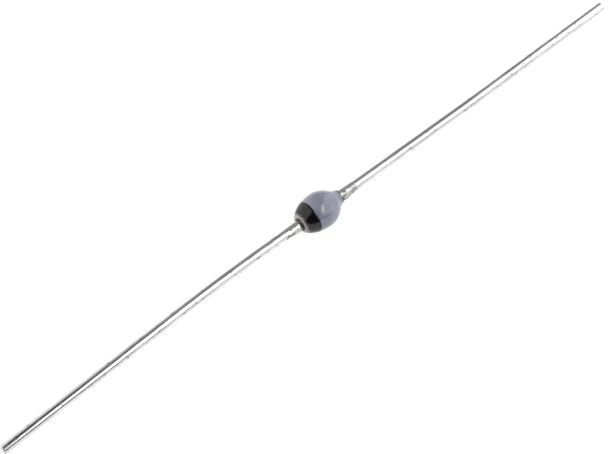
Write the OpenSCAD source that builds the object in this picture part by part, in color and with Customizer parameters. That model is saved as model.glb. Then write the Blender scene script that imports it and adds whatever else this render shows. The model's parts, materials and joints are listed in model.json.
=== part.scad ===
// Axial rectifier diode: a chip between two metal studs, sealed in a bead of glass,
// with a wire lead soldered to each stud.
// Millimetres. The diode lies along X with its cathode (the banded end) at -X. The origin
// is the middle of the chip, and +Z is up when the diode lies on its bead.

/* [Glass bead] */
// Largest diameter of the bead
bead_d = 3.0; // [2.8:0.05:3.4]
// How far the widest place lies from the chip, towards the anode
crown_shift = 0.05; // [-0.2:0.05:0.2]
// Diameter of the bead at its blunt cathode end
blunt_end_d = 1.62; // [1.4:0.02:1.8]
// Rounding of the edge of the blunt end
blunt_edge_r = 0.08; // [0.04:0.02:0.12]
// Radius of the hollow curve of the anode neck
neck_r = 1.6; // [1.2:0.05:2]
// How far past the end of the glass the neck's curve would be at its narrowest
neck_past_end = 0.52; // [0.3:0.02:0.7]
// Thickness of the glass where it ends on the anode stud
neck_edge_t = 0.03; // [0.03:0.01:0.08]

/* [Cathode band] */
// Distance from the chip to the clean edge of the painted band
band_start = 0.88; // [0.7:0.02:1]
// Width of the band along the diode
band_w = 0.78; // [0.6:0.02:0.9]
// Thickness of the paint
band_t = 0.03; // [0.02:0.01:0.06]

/* [Chip] */
// Diameter of the chip on its cathode side
chip_d = 1.3; // [1.15:0.05:1.5]
// Diameter of the chip on its anode side, past its bevelled edge
chip_mesa_d = 1.14; // [1:0.02:1.14]
// Thickness of the chip
chip_t = 0.25; // [0.2:0.01:0.35]
// Thickness of the metal that bonds the chip to a stud
bond_t = 0.03; // [0.02:0.01:0.05]

/* [Studs] */
// Diameter of a stud
stud_d = 1.1; // [0.9:0.02:1.14]
// Length of a stud
stud_l = 1.93; // [1.8:0.01:2.05]
// Bevel round the outer end of a stud
stud_bevel = 0.04; // [0.02:0.01:0.06]
// How far the cathode stud stands out of the glass
cathode_stud_proud = 0.14; // [0.1:0.01:0.2]
// How far the anode stud stands out of the glass
anode_stud_proud = 0.1; // [0.08:0.01:0.2]

/* [Leads] */
// Diameter of a lead
lead_d = 0.76; // [0.6:0.02:0.82]
// Length of a lead, measured along it
lead_l = 28.9; // [26:0.1:35]
// Straight length of the cathode lead before its gentle bend
cathode_bend_start = 5; // [2:0.5:8]
// Length over which the cathode lead bends
cathode_bend_l = 6; // [1:0.5:12]
// Angle of the cathode lead's bend
cathode_bend_deg = 3.2; // [1.8:0.1:4]
// How steeply the plane of that bend dips, from level to straight down
cathode_bend_dip = 72; // [0:1:90]
// Straight length of the anode lead before its gentle bend
anode_bend_start = 13; // [2:0.5:15]
// Length over which the anode lead bends
anode_bend_l = 2.5; // [1:0.5:10]
// Angle of the anode lead's bend
anode_bend_deg = 3; // [1.8:0.1:4]
// How steeply the plane of that bend dips, from level to straight down
anode_bend_dip = 48; // [0:1:90]

/* [Solder] */
// Thickness of the solder round a lead at its stud
solder_t = 0.08; // [0.06:0.01:0.12]
// Length of the thick part of the solder
solder_body_l = 0.35; // [0.25:0.05:0.6]
// Length over which the solder thins out along the lead
solder_taper_l = 1.15; // [0.8:0.05:1.5]
// Thickness of the solder where it ends
solder_edge_t = 0.02; // [0.01:0.01:0.03]

/* [Hidden] */
$fn = 96;

// Number of small turns that make up the bend in a lead
bend_turns = 3;

// Side of a square that a profile's half lies in with room to spare
profile_size = 2 * bead_d;

bead_r = bead_d / 2;
stud_r = stud_d / 2;
lead_r = lead_d / 2;

// Distances from the middle of the chip, out along the diode
stud_start = chip_t / 2 + bond_t;
stud_face = stud_start + stud_l;
blunt_end = stud_face - cathode_stud_proud;
neck_end = stud_face - anode_stud_proud;

// Every profile lies in a plane of [distance from the axis, distance along the axis].

// The point that lies at a distance from one point on the way to another
function towards(from, to, distance) = from + distance * (to - from) / norm(to - from);

// The blunt end's small edge circle, and the neck's hollow circle
blunt_edge_centre = [blunt_end_d / 2 - blunt_edge_r, blunt_edge_r - blunt_end];
neck_centre = [
    stud_r + neck_edge_t + sqrt(pow(neck_r, 2) - pow(neck_past_end, 2)),
    neck_end + neck_past_end
];

// Both curves of the crown start level at its widest place. One runs down to touch the
// inside of the edge circle, and the other to touch the outside of the neck's circle.
crown_top = [bead_r, crown_shift];
blunt_curve_r = touching_r(crown_top - blunt_edge_centre, blunt_edge_r);
neck_curve_r = touching_r(crown_top - neck_centre, -neck_r);
blunt_curve_centre = crown_top - [blunt_curve_r, 0];
neck_curve_centre = crown_top - [neck_curve_r, 0];

// Radius of a curve that is level at its top and touches a circle whose centre lies that
// far below the top and to its side. A negative radius is touched from the outside.
function touching_r(offset, circle_r) =
    (offset * offset - circle_r * circle_r) / (2 * (offset[0] - circle_r));

// Turns a profile round the diode's axis.
module turned() {
    rotate([0, 90, 0])
        rotate_extrude()
            children();
}

// The part of a profile between two distances along the axis. Parts that share a distance
// meet without a gap, because each is cut off by an edge placed at that very distance.
module between(low, high) {
    intersection() {
        translate([0, low])
            square(profile_size);
        translate([0, high])
            mirror([0, 1, 0])
                square(profile_size);
        children();
    }
}

// The bead from its blunt end to its widest place, with the glass grown by a skin
module blunt_half(skin = 0) {
    edge_end = towards(blunt_curve_centre, blunt_edge_centre, blunt_curve_r + skin)[1];
    between(-blunt_end - skin, edge_end)
        union() {
            translate([0, -profile_size])
                square([blunt_edge_centre[0], profile_size]);
            translate(blunt_edge_centre)
                circle(blunt_edge_r + skin);
        }
    between(edge_end, crown_shift)
        translate(blunt_curve_centre)
            circle(blunt_curve_r + skin);
}

// The bead from its widest place to the end of its neck
module neck_half() {
    neck_start = towards(neck_centre, neck_curve_centre, neck_r)[1];
    between(crown_shift, neck_start)
        translate(neck_curve_centre)
            circle(neck_curve_r);
    between(neck_start, neck_end)
        difference() {
            square([neck_centre[0], profile_size]);
            translate(neck_centre)
                circle(neck_r);
        }
}

// What the glass is sealed round: the studs, their bonds and the chip
module core_profile() {
    chip_profile();
    translate([0, -stud_face])
        square([stud_r, stud_face - chip_t / 2]);
    translate([0, chip_t / 2])
        square([stud_r, stud_face - chip_t / 2]);
}

module chip_profile() {
    polygon([
        [0, -chip_t / 2], [chip_d / 2, -chip_t / 2],
        [chip_mesa_d / 2, chip_t / 2], [0, chip_t / 2]
    ]);
}

module glass_bead() {
    color("slategray")
        turned()
            difference() {
                union() {
                    blunt_half();
                    neck_half();
                }
                core_profile();
            }
}

module cathode_band() {
    color([0.15, 0.14, 0.16])
        turned()
            difference() {
                between(-band_start - band_w, -band_start)
                    blunt_half(band_t);
                blunt_half();
            }
}

module silicon_chip() {
    color("dimgray")
        turned()
            chip_profile();
}

module bond() {
    color("gainsboro")
        turned()
            translate([0, chip_t / 2])
                square([stud_r, bond_t]);
}

module cathode_bond() {
    mirror([1, 0, 0])
        bond();
}

module anode_bond() {
    bond();
}

module stud() {
    color("silver")
        turned()
            translate([0, stud_start])
                polygon([
                    [0, 0], [stud_r, 0], [stud_r, stud_l - stud_bevel],
                    [stud_r - stud_bevel, stud_l], [0, stud_l]
                ]);
}

module cathode_stud() {
    mirror([1, 0, 0])
        stud();
}

module anode_stud() {
    stud();
}

// Solder that fills the corner between the stud and the lead, then thins out along the lead
module solder() {
    body_r = lead_r + solder_t;
    foot = stud_r - stud_bevel - body_r;
    solder_l = solder_body_l + solder_taper_l;
    color("lightgray")
        turned()
            translate([0, stud_face]) {
                polygon([
                    [lead_r, 0], [body_r, 0], [body_r, solder_body_l],
                    [lead_r + solder_edge_t, solder_l], [lead_r, solder_l]
                ]);
                difference() {
                    translate([body_r, 0])
                        square(foot);
                    translate([body_r + foot, foot])
                        circle(foot);
                }
            }
}

module cathode_solder() {
    mirror([1, 0, 0])
        solder();
}

module anode_solder() {
    solder();
}

// A lead that leaves its stud along X. Its bend goes towards Y and downwards, as it hangs
// when the diode has rolled to rest.
module lead(bend_start, bend_l, bend_deg, bend_dip) {
    between_turns = bend_l / (bend_turns - 1);
    lengths = [
        bend_start, for (i = [2:bend_turns]) between_turns, lead_l - bend_start - bend_l
    ];
    color("silver")
        rotate([-bend_dip, 0, 0])
            translate([stud_face, 0, 0])
                wire(lengths, bend_deg / bend_turns);
}

// Lengths of wire, from number i on, mitred into each other at equal small turns
module wire(lengths, turn_deg, i = 0) {
    is_last = i == len(lengths) - 1;
    mitred_rod(lengths[i], i == 0 ? 0 : turn_deg / 2, is_last ? 0 : turn_deg / 2);
    if (!is_last)
        translate([lengths[i], 0, 0])
            rotate([0, 0, turn_deg])
                wire(lengths, turn_deg, i + 1);
}

// A rod along X whose ends are cut off at half the angle of the turns there
module mitred_rod(length, start_mitre, end_mitre) {
    difference() {
        translate([-lead_r, 0, 0])
            rotate([0, 90, 0])
                cylinder(r = lead_r, h = length + lead_d);
        rotate([0, 0, -start_mitre])
            translate([-2 * lead_d, -lead_d, -lead_d])
                cube(2 * lead_d);
        translate([length, 0, 0])
            rotate([0, 0, end_mitre])
                translate([0, -lead_d, -lead_d])
                    cube(2 * lead_d);
    }
}

module cathode_lead() {
    rotate([0, 0, 180])
        lead(cathode_bend_start, cathode_bend_l, cathode_bend_deg, cathode_bend_dip);
}

module anode_lead() {
    lead(anode_bend_start, anode_bend_l, anode_bend_deg, anode_bend_dip);
}

glass_bead();
cathode_band();
silicon_chip();
cathode_bond();
anode_bond();
cathode_stud();
anode_stud();
cathode_solder();
anode_solder();
cathode_lead();
anode_lead();
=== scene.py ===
# %% [markdown]
# # An axial rectifier diode
# The part is a bead of grey glass, melted round two metal studs with a chip between them.
# A wire lead is soldered to each stud, and a black band of paint marks the cathode.
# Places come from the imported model, and the few sizes that it doesn't state are named where
# they are used. Shapes are made in millimetres, and become metres when they are finished.

import json
import math

import bmesh
import bpy
from mathutils import Matrix, Vector, noise


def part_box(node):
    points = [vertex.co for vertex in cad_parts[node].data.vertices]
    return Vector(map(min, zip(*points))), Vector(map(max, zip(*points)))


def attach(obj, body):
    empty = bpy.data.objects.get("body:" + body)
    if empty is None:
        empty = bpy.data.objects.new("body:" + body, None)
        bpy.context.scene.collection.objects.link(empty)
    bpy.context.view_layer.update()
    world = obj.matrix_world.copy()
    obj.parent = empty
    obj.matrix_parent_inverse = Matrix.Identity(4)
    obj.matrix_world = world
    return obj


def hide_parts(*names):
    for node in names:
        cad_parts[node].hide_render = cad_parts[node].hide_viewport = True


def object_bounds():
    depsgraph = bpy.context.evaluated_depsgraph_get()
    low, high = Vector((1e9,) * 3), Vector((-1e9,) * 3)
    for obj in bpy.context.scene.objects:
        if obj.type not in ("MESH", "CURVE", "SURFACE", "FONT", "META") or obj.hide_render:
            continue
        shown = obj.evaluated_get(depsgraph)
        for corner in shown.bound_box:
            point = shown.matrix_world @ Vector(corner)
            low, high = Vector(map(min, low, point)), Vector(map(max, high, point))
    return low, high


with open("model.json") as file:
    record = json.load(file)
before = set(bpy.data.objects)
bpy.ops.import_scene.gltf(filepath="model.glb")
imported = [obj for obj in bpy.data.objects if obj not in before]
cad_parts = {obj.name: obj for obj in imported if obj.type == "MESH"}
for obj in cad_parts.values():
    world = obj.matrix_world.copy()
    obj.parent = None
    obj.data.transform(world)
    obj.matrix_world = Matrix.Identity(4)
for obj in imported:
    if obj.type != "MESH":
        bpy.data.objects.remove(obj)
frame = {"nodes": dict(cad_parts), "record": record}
cad_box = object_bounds()
mm = 0.001
print("nodes:", sorted(frame["nodes"]))

# %% [markdown]
# ## Camera
# The camera looks down on the diode from over its cathode lead, through a long lens, so that
# the leads hardly narrow with distance. It could be placed by hand, but the angles of its line
# of sight, its distance and the place that it aims at can each be changed without the others.

# %% Camera
view_azimuth = math.radians(-40.34)
view_elevation = math.radians(57.27)
view_distance = 185.9 * mm
aim_right = -1.195 * mm
aim_up = -1.28 * mm
film_width = 36
focal_length = 142


def add_object(name, data):
    """Puts a new object into the scene."""
    made = bpy.data.objects.new(name, data)
    bpy.context.scene.collection.objects.link(made)
    return made


level = Vector((-math.sin(view_azimuth), math.cos(view_azimuth), 0))
to_right = Vector((math.cos(view_azimuth), math.sin(view_azimuth), 0))
sight = level * math.cos(view_elevation) - Vector((0, 0, math.sin(view_elevation)))
aim = to_right * aim_right + to_right.cross(sight) * aim_up

camera = add_object("camera", bpy.data.cameras.new("camera"))
camera.location = aim - sight * view_distance
camera.rotation_euler = (math.pi / 2 - view_elevation, 0, view_azimuth)
camera.data.sensor_width = film_width
camera.data.lens = focal_length
camera.data.clip_start = 1 * mm
bpy.context.scene.camera = camera
bpy.context.scene.view_settings.view_transform = "Standard"
print("camera at", [round(c / mm, 1) for c in camera.location], "mm")

# %% [markdown]
# ## Shader maths
# A procedural finish is a sum of many small effects, so it reads best as an expression.
# Each Link wraps one socket, and its operators add Math nodes. Any other node comes from
# Tree.node, which takes the settings first and then what its sockets hold.


# %% Shader expressions
class Link:
    """An output socket that can stand in a sum or a product."""

    def __init__(self, tree, socket):
        self.tree, self.socket = tree, socket

    def math(self, operation, first, second):
        return self.tree.node("ShaderNodeMath", {"operation": operation}, {0: first, 1: second})

    def __add__(self, other):
        return self.math("ADD", self, other)

    def __radd__(self, other):
        return self.math("ADD", other, self)

    def __sub__(self, other):
        return self.math("SUBTRACT", self, other)

    def __rsub__(self, other):
        return self.math("SUBTRACT", other, self)

    def __mul__(self, other):
        return self.math("MULTIPLY", self, other)

    def __rmul__(self, other):
        return self.math("MULTIPLY", other, self)


class Tree:
    """A node tree that is filled one call at a time."""

    def __init__(self, tree):
        self.tree = tree
        tree.nodes.clear()

    def node(self, kind, settings=None, sockets=None, output=0):
        """Adds a node, and gives the link that leaves it."""
        made = self.tree.nodes.new(kind)
        for name, value in (settings or {}).items():
            setattr(made, name, value)
        for name, value in (sockets or {}).items():
            if isinstance(value, Link):
                self.tree.links.new(value.socket, made.inputs[name])
            else:
                made.inputs[name].default_value = value
        return Link(self, made.outputs[output]) if made.outputs else None

    def dot(self, vector, axis):
        """How far a vector reaches along an axis"""
        return self.node(
            "ShaderNodeVectorMath", {"operation": "DOT_PRODUCT"}, {0: vector, 1: axis},
            output="Value")

    def stretched(self, place, scale):
        """A place with each of its coordinates scaled by itself"""
        return self.node(
            "ShaderNodeVectorMath", {"operation": "MULTIPLY"}, {0: place, 1: scale},
            output="Vector")

    def step(self, value, low, high):
        """0 below low and 1 above high, with a smooth rise between"""
        return self.node(
            "ShaderNodeMapRange", {"interpolation_type": "SMOOTHSTEP"},
            {"Value": value, "From Min": low, "From Max": high})

    def window(self, value, low, high, blur):
        """1 from low to high and 0 outside, with soft edges"""
        rise = self.step(value, low - blur, low + blur)
        return rise * (1 - self.step(value, high - blur, high + blur))

    def mix(self, factor, first, second):
        """One colour turned into another by a factor"""
        return self.node(
            "ShaderNodeMix", {"data_type": "RGBA"}, {0: factor, 6: first, 7: second}, output=2)

    def noise(self, place, per_mm, detail=3.0, roughness=0.5):
        """Soft noise with that many lumps to a millimetre"""
        return self.node(
            "ShaderNodeTexNoise", {},
            {"Vector": place, "Scale": per_mm / mm, "Detail": detail, "Roughness": roughness})


# %% [markdown]
# ## Light tent
# Small bright parts are shot in a tent of white cloth, and what they mirror is most of their
# look. A picture of a tent could be wrapped round them, but a tent that is drawn by direction
# stays sharp and is easy to change. It is dark where the lens looks in, with a dark sill below
# that opening, grey at the back, and has a narrow gap overhead. A brighter panel on the right
# holds a hot strip. Each place in it is told by how far its direction points rightwards, away
# from the lens and upwards, from -1 to 1. The background that the lens sees is plain white.

# %% Light tent
cloth_glow = 1.15
panel_glow = 1.7
hot_strip_glow = 6.0
back_glow = 0.30
opening_glow = 0.02
sill_glow = 0.08
opening_from = math.radians(-33)
opening_to = math.radians(39)
opening_blur = 0.05


def light_tent(world):
    tree = Tree(world.node_tree)
    direction = tree.node("ShaderNodeTexCoord", output="Generated")
    rightward = tree.dot(direction, to_right)
    away = tree.dot(direction, level)
    upward = tree.dot(direction, Vector((0, 0, 1)))
    near = 0 - away

    panel = tree.step(rightward, 0.20, 0.40) * tree.step(upward, 0.12, 0.20)
    # The strip lies askew: the further away, the less far to the right
    strip = tree.window(rightward + 0.47 * away, 0.29, 0.40, 0.03)
    strip = strip * tree.window(away, -0.46, 0.08, 0.05) * tree.step(upward, 0.50, 0.60)
    back = tree.window(rightward, -0.46, 0.26, 0.13) * tree.step(away, 0.02, 0.16)
    back = back * tree.step(upward, -0.05, 0.02)
    gap = tree.window(rightward, -0.24, 0.17, 0.05) * tree.window(away, -0.30, 0.27, 0.06)
    gap = gap * tree.step(upward, 0.80, 0.90)
    # The opening is a slice between two angles to the left and right of the lens
    side = tree.node("ShaderNodeMath", {"operation": "ARCTAN2"}, {0: rightward, 1: near})
    opening = tree.window(side, opening_from, opening_to, opening_blur)
    opening = opening * (1 - tree.step(upward, 0.93, 0.96))
    # The sill rises where it comes nearest to the lens
    sill = tree.window(upward - 0.24 * tree.step(near, 0.53, 0.64), -0.50, 0.24, 0.03)
    sill = sill * tree.step(near, 0.10, 0.30)

    glow = cloth_glow + panel * (panel_glow - cloth_glow)
    glow = glow + strip * (hot_strip_glow - panel_glow)
    for part, part_glow in (
            (back, back_glow), (gap, opening_glow), (opening, opening_glow), (sill, sill_glow)):
        glow = glow + part * (part_glow - glow)
    seen = tree.node("ShaderNodeLightPath", output="Is Camera Ray")
    surface = tree.node(
        "ShaderNodeBackground", {}, {"Color": (1, 1, 1, 1), "Strength": glow * (1 - seen) + seen})
    tree.node("ShaderNodeOutputWorld", {}, {"Surface": surface})


world = bpy.data.worlds.new("light_tent")
world.use_nodes = True
light_tent(world)
bpy.context.scene.world = world
print("the tent glows from", opening_glow, "to", hot_strip_glow)

# %% [markdown]
# ## Lamps
# A large soft lamp on each side lights the flanks of the bead. Brighter cloth would light them
# too, but it would also wash out what the metal mirrors. Neither lamp shows in mirrored light,
# because the cloth of the tent hangs between them and the diode.

# %% Lamps
lamp_size = 120 * mm
lamp_distance = 300 * mm
lamp_height = 110 * mm

for name, side, power in (("left_lamp", -1, 0.36), ("right_lamp", 1, 0.18)):
    lamp = add_object(name, bpy.data.lights.new(name, "AREA"))
    lamp.data.size = lamp_size
    lamp.data.energy = power
    lamp.location = to_right * side * lamp_distance + Vector((0, 0, lamp_height))
    lamp.rotation_euler = lamp.location.to_track_quat("Z", "Y").to_euler()
    lamp.visible_glossy = False
    lamp.visible_camera = False
    print(name, "gives", power, "W")

# %% [markdown]
# ## Floor
# The diode lies on a white table. What the lens sees of it, and what metal and glass mirror
# of it, is mostly its own glow, which comes out as plain white. A part of it is lit paint, so
# that the shadow of the bead still shows. To all other light it is ordinary white paint.

# %% Floor
floor_half_size = 600 * mm
floor_glow = 0.90
floor_lit_paint = 0.16
floor_paint = 0.92


def floor_finish():
    material = bpy.data.materials.new("white_table")
    material.use_nodes = True
    tree = Tree(material.node_tree)
    unseen = 1.0
    for ray in ("Is Camera Ray", "Is Glossy Ray", "Is Transmission Ray"):
        unseen = (1 - tree.node("ShaderNodeLightPath", output=ray)) * unseen
    paint = tree.node("ShaderNodeBsdfDiffuse", {}, {"Color": (floor_paint,) * 3 + (1,)})
    lit_paint = tree.node("ShaderNodeBsdfDiffuse", {}, {"Color": (floor_lit_paint,) * 3 + (1,)})
    glow = tree.node("ShaderNodeEmission", {}, {"Strength": floor_glow})
    shown = tree.node("ShaderNodeAddShader", {}, {0: lit_paint, 1: glow})
    surface = tree.node("ShaderNodeMixShader", {}, {0: unseen, 1: shown, 2: paint})
    tree.node("ShaderNodeOutputMaterial", {}, {"Surface": surface})
    return material


floor_mesh = bmesh.new()
bmesh.ops.create_grid(floor_mesh, x_segments=1, y_segments=1, size=floor_half_size)
bmesh.ops.translate(floor_mesh, verts=floor_mesh.verts, vec=(0, 0, cad_box[0][2]))
floor = add_object("table", bpy.data.meshes.new("table"))
floor_mesh.to_mesh(floor.data)
floor_mesh.free()
floor.data.materials.append(floor_finish())
print("table at", round(cad_box[0][2] / mm, 3), "mm")

# %% [markdown]
# ## Finishes
# Every finish starts from the piece's own coordinates, and ends in a Principled shader.
# Colour, roughness and a small bump vary with noise of a few scales, from clouds as wide as
# the bead to grain that only a lens shows. A painted skin would have to be unwrapped from
# each shape, and noise that fills space needs no unwrapping.


# %% How a finish starts and ends
def start_finish(name):
    """A new material, its tree, and the place on the piece in metres"""
    material = bpy.data.materials.new(name)
    material.use_nodes = True
    tree = Tree(material.node_tree)
    return material, tree, tree.node("ShaderNodeTexCoord", output="Object")


def along_diode(tree, place):
    """How far a place lies from the chip, towards the anode"""
    return tree.node("ShaderNodeSeparateXYZ", {}, {"Vector": place}, output="X")


def end_finish(material, tree, height, depth_mm, sockets):
    """Ends the finish in a shader whose bump is that deep for a height of 1."""
    bump = tree.node(
        "ShaderNodeBump", {}, {"Height": height, "Distance": depth_mm * mm, "Strength": 1.0})
    surface = tree.node("ShaderNodeBsdfPrincipled", {}, {**sockets, "Normal": bump})
    tree.node("ShaderNodeOutputMaterial", {}, {"Surface": surface})
    print(material.name, "has", len(material.node_tree.nodes), "nodes")
    return material


# %% [markdown]
# ### Glass
# The bead is fused from glass powder, so it is opaque, clouded, and smooth but for faint
# waves and a few pits. The bare glass round the blunt end is painted a dark mauve brown: its
# own brown tint, darkened as painted shade, with lighter specks that are painted reflections
# and a lighter rim that is a painted highlight. It darkens where it seals on the anode stud.
# Light hardly enters it, so an opaque shader with a high index of refraction is as true as a
# see-through one, and much quicker.

# %% Glass finish
def glass_finish():
    material, tree, place = start_finish("fused_grey_glass")
    to_anode = along_diode(tree, place)
    to_cathode = 0 - to_anode
    clouds = tree.noise(place, 1.1)
    grain = tree.noise(place, 7, 5, 0.6)
    seal = tree.step(to_anode, 1.62 * mm, 1.95 * mm)
    body = tree.mix(
        tree.step(clouds, 0.35, 0.68), (0.176, 0.186, 0.243, 1), (0.222, 0.234, 0.300, 1))
    body = tree.mix(tree.step(grain, 0.45, 0.75) * 0.35, body, (0.30, 0.30, 0.35, 1))
    body = tree.mix(seal * 0.8, body, (0.12, 0.12, 0.125, 1))
    # Lighter specks on the bare glass at the blunt end are painted reflections.
    reflection_specks = tree.step(tree.noise(place, 9, 2), 0.58, 0.70)
    # A painted highlight makes the rim of the blunt end lighter.
    rim_highlight = tree.step(to_cathode, 1.86 * mm, 1.92 * mm)
    ring = tree.mix(reflection_specks, (0.110, 0.083, 0.090, 1), (0.32, 0.27, 0.28, 1))
    ring = tree.mix(rim_highlight * 0.8, ring, (0.42, 0.38, 0.38, 1))
    # The bare glass at the blunt end has its own brown tint, darkened as painted shade.
    brown_tint_and_shade = tree.step(to_cathode, 1.62 * mm, 1.74 * mm)
    pits = tree.step(tree.noise(place, 16, 2), 0.70, 0.76)
    return end_finish(material, tree, clouds + grain * 0.08 - pits * 0.12, 0.009, {
        "Base Color": tree.mix(brown_tint_and_shade, body, ring),
        "Roughness": 0.06 + grain * 0.06,
        "IOR": 1.62,
        "Sheen Weight": 0.25,
        "Sheen Roughness": 0.45,
    })


fused_glass = glass_finish()

# %% [markdown]
# ### Paint
# The band is brushed on while the diode turns, so its faint streaks run round the bead. Noise
# that changes fast along the diode and slowly across it gives them, and a finer noise gives
# the specks of dust that dried into the paint.

# %% Paint finish
def paint_finish():
    material, tree, place = start_finish("black_band_paint")
    streaks = tree.noise(tree.stretched(place, (1, 0.08, 0.08)), 14, 3)
    dust = tree.step(tree.noise(place, 22, 2), 0.66, 0.74)
    return end_finish(material, tree, streaks, 0.004, {
        "Base Color": tree.mix(dust * 0.5, (0.0035, 0.0030, 0.0042, 1), (0.05, 0.045, 0.045, 1)),
        "Roughness": 0.10 + streaks * 0.12,
        "IOR": 1.5,
    })


band_paint = paint_finish()

# %% [markdown]
# ### Stained metal
# The studs are turned, so fine rings run round them, and the heat of the seal has stained
# them brown. The stain is a thin crust, so where it lies the surface is less metallic too. It
# could be a layer of its own, but a second colour that noise lets through is enough.

# %% Stud finish
def stud_finish():
    material, tree, place = start_finish("heat_stained_stud")
    stain = tree.step(tree.noise(place, 3.5, 4), 0.30, 0.50)
    rings = tree.noise(tree.stretched(place, (1, 0.1, 0.1)), 25, 2)
    return end_finish(material, tree, rings, 0.004, {
        "Base Color": tree.mix(stain, (0.62, 0.59, 0.57, 1), (0.055, 0.032, 0.026, 1)),
        "Metallic": 1 - stain * 0.35,
        "Roughness": 0.20 + rings * 0.22,
    })


stud_metal = stud_finish()

# %% [markdown]
# ### Solder
# Solder cools smooth where it is thin, and lumpy on the side that was below, where the hollows
# are painted darker than the crests, as painted shade. It keeps some dark flux by the studs.
# One noise drives the bump and the painted shade together, so that the shade lies in the hollows.

# %% Solder finish
below = Vector((0, -0.87, -0.49))


def solder_finish():
    material, tree, place = start_finish("lumpy_solder")
    to_anode = along_diode(tree, place)
    hanging = tree.dot(place, below)
    anode_side = tree.step(to_anode, -1 * mm, 1 * mm)
    lumpy = tree.step(hanging + anode_side * (0.18 * mm), 0.02 * mm, 0.24 * mm)
    lumps = tree.noise(place, 3.6, 4, 0.6)
    grain = tree.noise(place, 18, 3)
    edge = (lumps - 0.5) * (0.12 * mm)
    low_rim = tree.step(hanging, 0.34 * mm, 0.42 * mm) * anode_side
    scorch = (1 - tree.step(0 - to_anode + edge, 2.15 * mm, 2.21 * mm)) * (1 - anode_side)
    flux = low_rim * (1 - tree.step(to_anode + edge, 2.18 * mm, 2.26 * mm)) + scorch
    # Painted shade: on the lower side, the hollows between the lumps are painted a darker grey.
    hollow_shade = lumpy * (1 - tree.step(lumps, 0.44, 0.72))
    metal = tree.mix(hollow_shade, (0.80, 0.80, 0.79, 1), (0.30, 0.30, 0.28, 1))
    height = (lumps + grain * 0.3) * (lumpy * 0.92 + 0.08)
    return end_finish(material, tree, height, 0.022, {
        "Base Color": tree.mix(flux, metal, (0.050, 0.040, 0.028, 1)),
        "Metallic": 1 - flux,
        "Roughness": 0.12 + lumpy * grain * 0.40,
    })


solder_metal = solder_finish()

# %% [markdown]
# ### Tinned wire
# The wires are drawn and then dipped in tin: fine marks run along them, and the tin is
# brighter in some patches and has small pits. A deeper bump would blur the bands of light
# that the wire mirrors, so this one is hardly more than a thousandth of a millimetre.

# %% Wire finish
def wire_finish():
    material, tree, place = start_finish("tinned_wire")
    marks = tree.noise(tree.stretched(place, (0.02, 1, 1)), 16, 3)
    patches = tree.noise(tree.stretched(place, (0.3, 1, 1)), 1.6, 3)
    pits = tree.step(tree.noise(tree.stretched(place, (0.35, 1, 1)), 6, 2), 0.60, 0.67)
    bright = tree.step(patches, 0.38, 0.64)
    tin = tree.mix(bright, (0.66, 0.66, 0.67, 1), (0.80, 0.80, 0.80, 1))
    return end_finish(material, tree, marks * 0.6 - pits, 0.0011, {
        "Base Color": tree.mix(pits * 0.7, tin, (0.20, 0.20, 0.20, 1)),
        "Metallic": 1.0,
        "Roughness": 0.08 + marks * 0.08 + pits * 0.2,
    })


wire_metal = wire_finish()

# %% [markdown]
# ### Inside
# The chip and the discs that bond it are sealed in the glass. They keep their solids, because
# nothing of them shows, and get finishes for anyone who cuts the bead open.

# %% Finishes inside the bead
def chip_finish():
    material, tree, place = start_finish("etched_silicon")
    saw_marks = tree.noise(tree.stretched(place, (1, 0.1, 1)), 30, 2)
    return end_finish(material, tree, saw_marks, 0.002, {
        "Base Color": tree.mix(saw_marks, (0.09, 0.09, 0.11, 1), (0.16, 0.16, 0.18, 1)),
        "Metallic": 0.6,
        "Roughness": 0.25 + saw_marks * 0.3,
    })


def bond_finish():
    material, tree, place = start_finish("bond_metal")
    grain = tree.noise(place, 20, 3)
    return end_finish(material, tree, grain, 0.002, {
        "Base Color": tree.mix(grain, (0.60, 0.60, 0.62, 1), (0.76, 0.76, 0.78, 1)),
        "Metallic": 1.0,
        "Roughness": 0.30 + grain * 0.2,
    })


silicon = chip_finish()
bond_metal = bond_finish()
for node, finish in (
        ("silicon_chip", silicon), ("cathode_bond", bond_metal), ("anode_bond", bond_metal)):
    solid = frame["nodes"][node]
    solid.data.materials.clear()
    solid.data.materials.append(finish)
    print(node, "keeps its solid, in", finish.name)

# %% [markdown]
# ## Turned shapes
# All but the leads are turned: an outline is drawn from the axis outwards in the X-Z plane,
# and spun round X. Round stretches of an outline come from spinning its last vertex round
# the middle of the curve, which is the same operator at work in the flat. A curve that is
# drawn like this meets the next one exactly where the sizes say, unlike one drawn by eye.

# %% Outlines
outline_step = 0.03
least_arc_steps = 3
merge_distance = 1e-4
quarter_turn = math.pi / 2


def start_outline(bm, x, r):
    """The first vertex of an outline, at a distance from the axis"""
    return bm.verts.new((x, 0, r))


def line_to(bm, last, x, r):
    """Carries the outline straight on to a point, in short steps."""
    start, end = last.co.copy(), Vector((x, 0, r))
    steps = max(1, round((end - start).length / outline_step))
    for i in range(1, steps + 1):
        point = bm.verts.new(start.lerp(end, i / steps))
        bm.edges.new((last, point))
        last = point
    return last


def arc_to(bm, last, x, r, turn):
    """Carries the outline on round (x, r) by an angle, positive over the top towards +X."""
    centre = Vector((x, 0, r))
    length = abs(turn) * (last.co - centre).length
    steps = max(least_arc_steps, round(length / outline_step))
    made = bmesh.ops.spin(
        bm, geom=[last], cent=centre, axis=(0, 1, 0), angle=turn, steps=steps, use_merge=False)
    return next(v for v in made["geom_last"] if isinstance(v, bmesh.types.BMVert))


def spin_outline(bm, segments):
    """Turns the outline into a closed shape round the diode's axis."""
    bmesh.ops.spin(
        bm, geom=bm.verts[:] + bm.edges[:], cent=(0, 0, 0), axis=(1, 0, 0),
        angle=2 * math.pi, steps=segments, use_merge=True)
    bmesh.ops.remove_doubles(bm, verts=bm.verts, dist=merge_distance)


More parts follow.
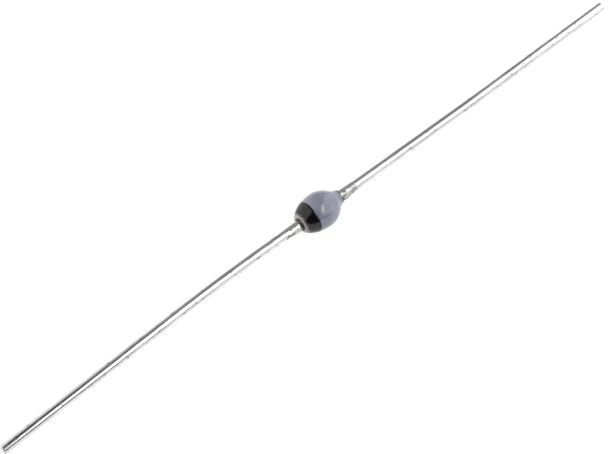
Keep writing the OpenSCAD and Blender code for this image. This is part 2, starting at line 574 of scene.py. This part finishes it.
# %% [markdown]
# ## Finished pieces
# Each piece is made the same way once its shape is there: its faces are turned outwards, it
# is brought to metres, and edges sharper than a set angle stay crisp under smooth shading.
# It then rides on the part's only body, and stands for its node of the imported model.

# %% Finished pieces
smooth_below = math.radians(40)
least_edge = 1e-5


def finish_piece(name, bm, finish, node):
    """Makes a piece of a bmesh in millimetres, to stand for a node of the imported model."""
    bmesh.ops.dissolve_degenerate(bm, edges=bm.edges, dist=least_edge)
    bmesh.ops.recalc_face_normals(bm, faces=bm.faces)
    bmesh.ops.scale(bm, verts=bm.verts, vec=(mm, mm, mm))
    mesh = bpy.data.meshes.new(name)
    bm.to_mesh(mesh)
    bm.free()
    mesh.shade_smooth()
    mesh.set_sharp_from_angle(angle=smooth_below)
    mesh.materials.append(finish)
    piece = add_object(name, mesh)
    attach(piece, "root")
    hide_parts(node)
    print(name, "has", len(mesh.polygons), "faces")
    return piece


def lump(v, per_mm, seed):
    """Noise from -1 to 1 at a vertex"""
    return noise.noise(v.co * per_mm + Vector((seed, 0, 0)))


# %% [markdown]
# ## Curves of the bead
# Surface tension rounded the bead while it was soft, so its outline has no corners but where
# the glass ends. It could be a smooth curve through hand-set points. Here it is made of four
# circles that touch each other, so that a change of one size carries through to the rest:
# the blunt end's small edge, the crown's two curves, and the hollow neck.

# %% Curves of the bead
crown_shift = 0.05
blunt_end_r = 0.81
blunt_edge_r = 0.08
neck_r = 1.6
neck_past_end = 0.52
neck_edge_t = 0.03

bead_low, bead_high = (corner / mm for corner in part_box("glass_bead"))
chip_low, chip_high = (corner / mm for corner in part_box("silicon_chip"))
stud_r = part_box("cathode_stud")[1].z / mm
lead_r = frame["record"]["mounts"][0]["dims"]["r_mm"]

# Middles of the curves as (x, distance from the axis)
crown_top = Vector((crown_shift, bead_high.z))
edge_middle = Vector((bead_low.x + blunt_edge_r, blunt_end_r - blunt_edge_r))
neck_middle = Vector((
    bead_high.x + neck_past_end,
    stud_r + neck_edge_t + math.sqrt(neck_r ** 2 - neck_past_end ** 2)))


def level_curve(middle, r):
    """Radius and middle of the curve that is level at the crown's top and touches a circle"""
    across = crown_top - middle
    curve_r = (across.length_squared - r * r) / (2 * (across.y - r))
    return curve_r, crown_top - Vector((0, curve_r))


def angle_at(middle, point):
    """Angle of a point round a middle, from -X over the top to +X"""
    return math.atan2(point.y - middle.y, middle.x - point.x)


def blunt_radius(x):
    """Radius of the bead's blunt half at x"""
    inside = blunt_curve_r ** 2 - (x - blunt_middle.x) ** 2
    return blunt_middle.y + math.sqrt(inside)


blunt_curve_r, blunt_middle = level_curve(edge_middle, blunt_edge_r)
neck_curve_r, neck_curve_middle = level_curve(neck_middle, -neck_r)
edge_end = angle_at(blunt_middle, edge_middle)
neck_start = angle_at(neck_curve_middle, neck_middle)
print("the crown's curves are", round(blunt_curve_r, 3), "and", round(neck_curve_r, 3), "mm")

# %% [markdown]
# ## Bead
# The outline starts on the bore at the blunt end, rounds the small edge, runs over the crown,
# and sweeps down the hollow neck. The bore closes round the chip, like the glass that flowed
# there. Bump alone wouldn't show at the bead's edge, so the faint waves of its skin are real.
# They all lie just inside the drawn outline, and die away towards the bore.

# %% Bead
chip_mesa_r = 0.57
bead_segments = 192
bead_wave = 0.006
wave_sink = 1.75
calm_glass = 0.1
wave_rise = 0.4


def make_bead():
    bm = bmesh.new()
    first = start_outline(bm, bead_low.x, stud_r)
    last = line_to(bm, first, bead_low.x, edge_middle.y)
    last = arc_to(bm, last, *edge_middle, edge_end)
    last = arc_to(bm, last, *blunt_middle, quarter_turn - edge_end)
    last = arc_to(bm, last, *neck_curve_middle, neck_start - quarter_turn)
    hollow = -math.acos(neck_past_end / neck_r) - (neck_start - math.pi)
    last = arc_to(bm, last, *neck_middle, hollow)
    for x, r in (
            (bead_high.x, stud_r), (chip_high.x, stud_r), (chip_high.x, chip_mesa_r),
            (chip_low.x, chip_high.z), (chip_low.x, stud_r), (bead_low.x, stud_r)):
        last = line_to(bm, last, x, r)
    spin_outline(bm, bead_segments)
    for v in bm.verts:
        away = Vector((0, v.co.y, v.co.z))
        skin = min(1, max(0, (away.length - stud_r - calm_glass) / wave_rise))
        v.co += away.normalized() * ((lump(v, 0.9, 3) - wave_sink) * bead_wave * skin)
    return finish_piece("grey_glass_bead", bm, fused_glass, "glass_bead")


make_bead()

# %% [markdown]
# ## Cathode band
# The band is a coat of paint on the glass. It could be a colour in the bead's finish, but
# thick paint has an edge that catches light, so it is a thin closed strip spun round the
# bead. Its vertices are then moved along the bead: hardly at the clean edge, and unevenly at
# the outer edge, where the brush left it. Splashes of paint lie on the bare glass beyond.

# %% Cathode band
band_start = -0.88
band_w = 0.87
paint_t = 0.03
paint_sunk = 0.03
band_steps = 30
band_segments = 320
ragged_depth = 0.09
clean_wobble = 0.012


def round_noise(turn, lumps, seed):
    """Noise that closes on itself round the bead"""
    spot = Vector((math.cos(turn) * lumps, math.sin(turn) * lumps, seed))
    return noise.noise(spot)


def spin_strip(bm):
    """The even strip: out over the paint, back under the skin of the glass, and round"""
    xs = [band_start - band_w * i / band_steps for i in range(band_steps + 1)]
    strip = [(x, blunt_radius(x) + paint_t) for x in xs]
    strip += [(x, blunt_radius(x) - paint_sunk) for x in reversed(xs)]
    first = last = start_outline(bm, *strip[0])
    for x, r in strip[1:]:
        point = start_outline(bm, x, r)
        bm.edges.new((last, point))
        last = point
    bm.edges.new((last, first))
    spin_outline(bm, band_segments)


def brush(v):
    """Moves a vertex of the even strip to where the brush left the paint."""
    r, turn = math.hypot(v.co.y, v.co.z), math.atan2(v.co.z, v.co.y)
    share = (band_start - v.co.x) / band_w
    outside = r > blunt_radius(v.co.x)
    ragged = ragged_depth * (round_noise(turn, 2.2, 1) + 0.7 * round_noise(turn, 7, 2))
    wobble = clean_wobble * round_noise(turn, 3, 5)
    x = band_start - share * (band_w + ragged * share ** 2) + wobble * (1 - share)
    thickness = paint_t * (1 - (2 * share - 1) ** 8) * (0.85 + 0.3 * lump(v, 2, 9))
    new_r = blunt_radius(x) + (thickness if outside else -paint_sunk)
    v.co = Vector((x, v.co.y * new_r / r, v.co.z * new_r / r))


# %% Splashes of paint
splash_count = 16
splash_flat = Vector((0.7, 1, 0.35))


def add_splash(bm, number):
    """A flat drop of paint on the glass, somewhere in its share of the way round"""
    turn = 2 * math.pi * (number + 0.8 * noise.random()) / splash_count
    x = band_start - band_w - 0.02 - 0.05 * noise.random()
    size = 0.02 + 0.04 * noise.random()
    made = bmesh.ops.create_icosphere(bm, subdivisions=2, radius=size)
    bmesh.ops.scale(bm, verts=made["verts"], vec=splash_flat)
    place = Matrix.Rotation(turn, 4, "X") @ Matrix.Translation((x, 0, blunt_radius(x)))
    bmesh.ops.transform(bm, verts=made["verts"], matrix=place)


def make_band():
    bm = bmesh.new()
    spin_strip(bm)
    for v in bm.verts:
        brush(v)
    for number in range(splash_count):
        add_splash(bm, number)
    return finish_piece("black_cathode_band", bm, band_paint, "cathode_band")


noise.seed_set(7)
make_band()

# %% [markdown]
# ## Studs
# A stud is a short rod with a rounded rim. Only the rim shows, between the glass and the
# solder. The same outline makes both, and is mirrored for the cathode.

# %% Studs
stud_rim_r = 0.04
stud_segments = 128


def make_stud(name, node, side):
    low, high = (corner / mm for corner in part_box(node))
    inner, outer = sorted((abs(low.x), abs(high.x)))
    bm = bmesh.new()
    last = start_outline(bm, inner, 0)
    last = line_to(bm, last, inner, stud_r)
    last = line_to(bm, last, outer - stud_rim_r, stud_r)
    last = arc_to(bm, last, outer - stud_rim_r, stud_r - stud_rim_r, quarter_turn)
    line_to(bm, last, outer, 0)
    spin_outline(bm, stud_segments)
    bmesh.ops.scale(bm, verts=bm.verts, vec=(side, 1, 1))
    return finish_piece(name, bm, stud_metal, node)


make_stud("cathode_stud_rim", "cathode_stud", -1)
make_stud("anode_stud_rim", "anode_stud", 1)

# %% [markdown]
# ## Solder
# Solder fills the corner between the stud and the lead and climbs a little way along the
# wire. It could be sculpted by hand, but a turned fillet that noise pushes about is made in a
# few lines. It is pushed most near the stud, and is thickest on the side that was below when
# it set. The cathode's is thin on top, where the molten metal ran off.

# %% Solder
solder_t = 0.08
solder_body_l = 0.35
solder_edge_t = 0.02
solder_sunk = 0.02
solder_segments = 128
solder_lumps = 0.06
low_cover = 1.25
held_by_face = 0.06
least_skin = -0.004


def spin_fillet(bm, face, end):
    """The even fillet, from the face of the stud to its end on the wire"""
    body_r = lead_r + solder_t
    foot = stud_r - stud_rim_r - body_r
    first = start_outline(bm, face, lead_r - solder_sunk)
    last = line_to(bm, first, face, stud_r - stud_rim_r)
    last = arc_to(bm, last, face + foot, stud_r - stud_rim_r, -quarter_turn)
    last = line_to(bm, last, face + solder_body_l, body_r)
    last = line_to(bm, last, end, lead_r + solder_edge_t)
    last = line_to(bm, last, end, lead_r - solder_sunk)
    line_to(bm, last, *first.co.xz)
    spin_outline(bm, solder_segments)


def make_solder(name, node, side, top_cover, seed):
    """A fillet whose cover of the wire is that share of the even one's on top"""
    low, high = (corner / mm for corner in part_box(node))
    face, end = sorted((abs(low.x), abs(high.x)))
    bm = bmesh.new()
    spin_fillet(bm, face, end)
    for v in bm.verts:
        away = Vector((0, v.co.y, v.co.z))
        cover = away.length - lead_r
        if cover > 0:
            up_wire = (v.co.x - face) / (end - face)
            free = min(1, (v.co.x - face) / held_by_face)
            lumpy = min(1, max(0, 0.4 + 1.2 * away.normalized().dot(below)))
            hang = cover * (top_cover - 1 + (low_cover - top_cover) * lumpy)
            rise = (lump(v, 3.2, seed) + 0.5 * lump(v, 8, seed + 4)) * solder_lumps
            rise *= (0.12 + 0.88 * lumpy) * (1 - 0.5 * up_wire)
            v.co += away.normalized() * max(least_skin - cover, (hang + rise) * free)
    bmesh.ops.scale(bm, verts=bm.verts, vec=(side, 1, 1))
    return finish_piece(name, bm, solder_metal, node)


make_solder("cathode_solder_fillet", "cathode_solder", -1, 0.35, 20)
make_solder("anode_solder_fillet", "anode_solder", 1, 0.85, 31)

# %% [markdown]
# ## Leads
# A lead is a drawn wire with one gentle bend. A thick curve would do, but a ring of edges
# that is pushed out of the stud, spun round the middle of the bend and pushed on to the tip
# gives exact ends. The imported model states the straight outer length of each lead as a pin,
# and the bend lies where the lines of the two straight lengths meet. The cutters left the
# tip a little slanted, with its edge rounded.

# %% Leads
lead_segments = 64
bend_steps = 24
tip_edge_r = 0.07
tip_edge_steps = 5
tip_slant = math.radians(5)
tip_clearance = 1.1


def ring_of(geom):
    """The vertices of a new ring, and the edges between them"""
    points = [v for v in geom if isinstance(v, bmesh.types.BMVert)]
    ring = set(points)
    edges = dict.fromkeys(e for v in points for e in v.link_edges if set(e.verts) <= ring)
    return points, list(edges)


def push(bm, edges, along):
    """Extrudes a ring, and gives the new one."""
    points, edges = ring_of(bmesh.ops.extrude_edge_only(bm, edges=edges)["geom"])
    bmesh.ops.translate(bm, verts=points, vec=along)
    return points, edges


def make_lead(name, node, side, pin, reach):
    """A lead whose bend reaches that far each way from the corner of its straight lengths"""
    face = abs(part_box(node)[0 if side > 0 else 1].x) / mm
    start = Vector((side * face, 0, 0))
    straight = Vector((side, 0, 0))
    outer = Vector(pin["axis"]).normalized()
    middle = Vector(pin["pos_m"]) / mm
    tip = middle + outer * pin["dims"]["length_mm"] / 2
    aside = outer - straight * outer.dot(straight)
    corner = middle - outer * (middle.dot(aside) / outer.dot(aside))
    turn = straight.angle(outer)
    bend_r = reach / math.tan(turn / 2)
    bend_start = corner - straight * reach
    bend_middle = bend_start + aside.normalized() * bend_r

    bm = bmesh.new()
    bmesh.ops.create_circle(
        bm, cap_ends=False, radius=lead_r, segments=lead_segments,
        matrix=Matrix.Translation(start) @ Matrix.Rotation(quarter_turn, 4, "Y"))
    inner_ring = bm.edges[:]
    _, edges = push(bm, inner_ring, bend_start - start)
    made = bmesh.ops.spin(
        bm, geom=edges, cent=bend_middle, axis=straight.cross(aside).normalized(),
        angle=turn, steps=bend_steps)
    _, edges = ring_of(made["geom_last"])
    points, edges = push(bm, edges, tip - (corner + outer * reach))
    slant = Matrix.Rotation(tip_slant, 3, Vector((0, 1, 0)))
    bmesh.ops.rotate(bm, verts=points, cent=tip, matrix=slant)
    pulled_in = outer * -lead_r * math.sin(tip_slant) * tip_clearance
    bmesh.ops.translate(bm, verts=points, vec=pulled_in)
    bmesh.ops.contextual_create(bm, geom=edges)
    bmesh.ops.contextual_create(bm, geom=inner_ring)
    bmesh.ops.bevel(
        bm, geom=edges, affect="EDGES", offset=tip_edge_r, segments=tip_edge_steps,
        profile=0.5, material=-1)
    print(name, "bends by", round(math.degrees(turn), 2), "degrees")
    return finish_piece(name, bm, wire_metal, node)


pins = {pin["name"]: pin for pin in frame["record"]["mounts"]}
make_lead("cathode_wire", "cathode_lead", -1, pins["cathode_lead_end"], 4.5)
make_lead("anode_wire", "anode_lead", 1, pins["anode_lead_end"], 1.9)
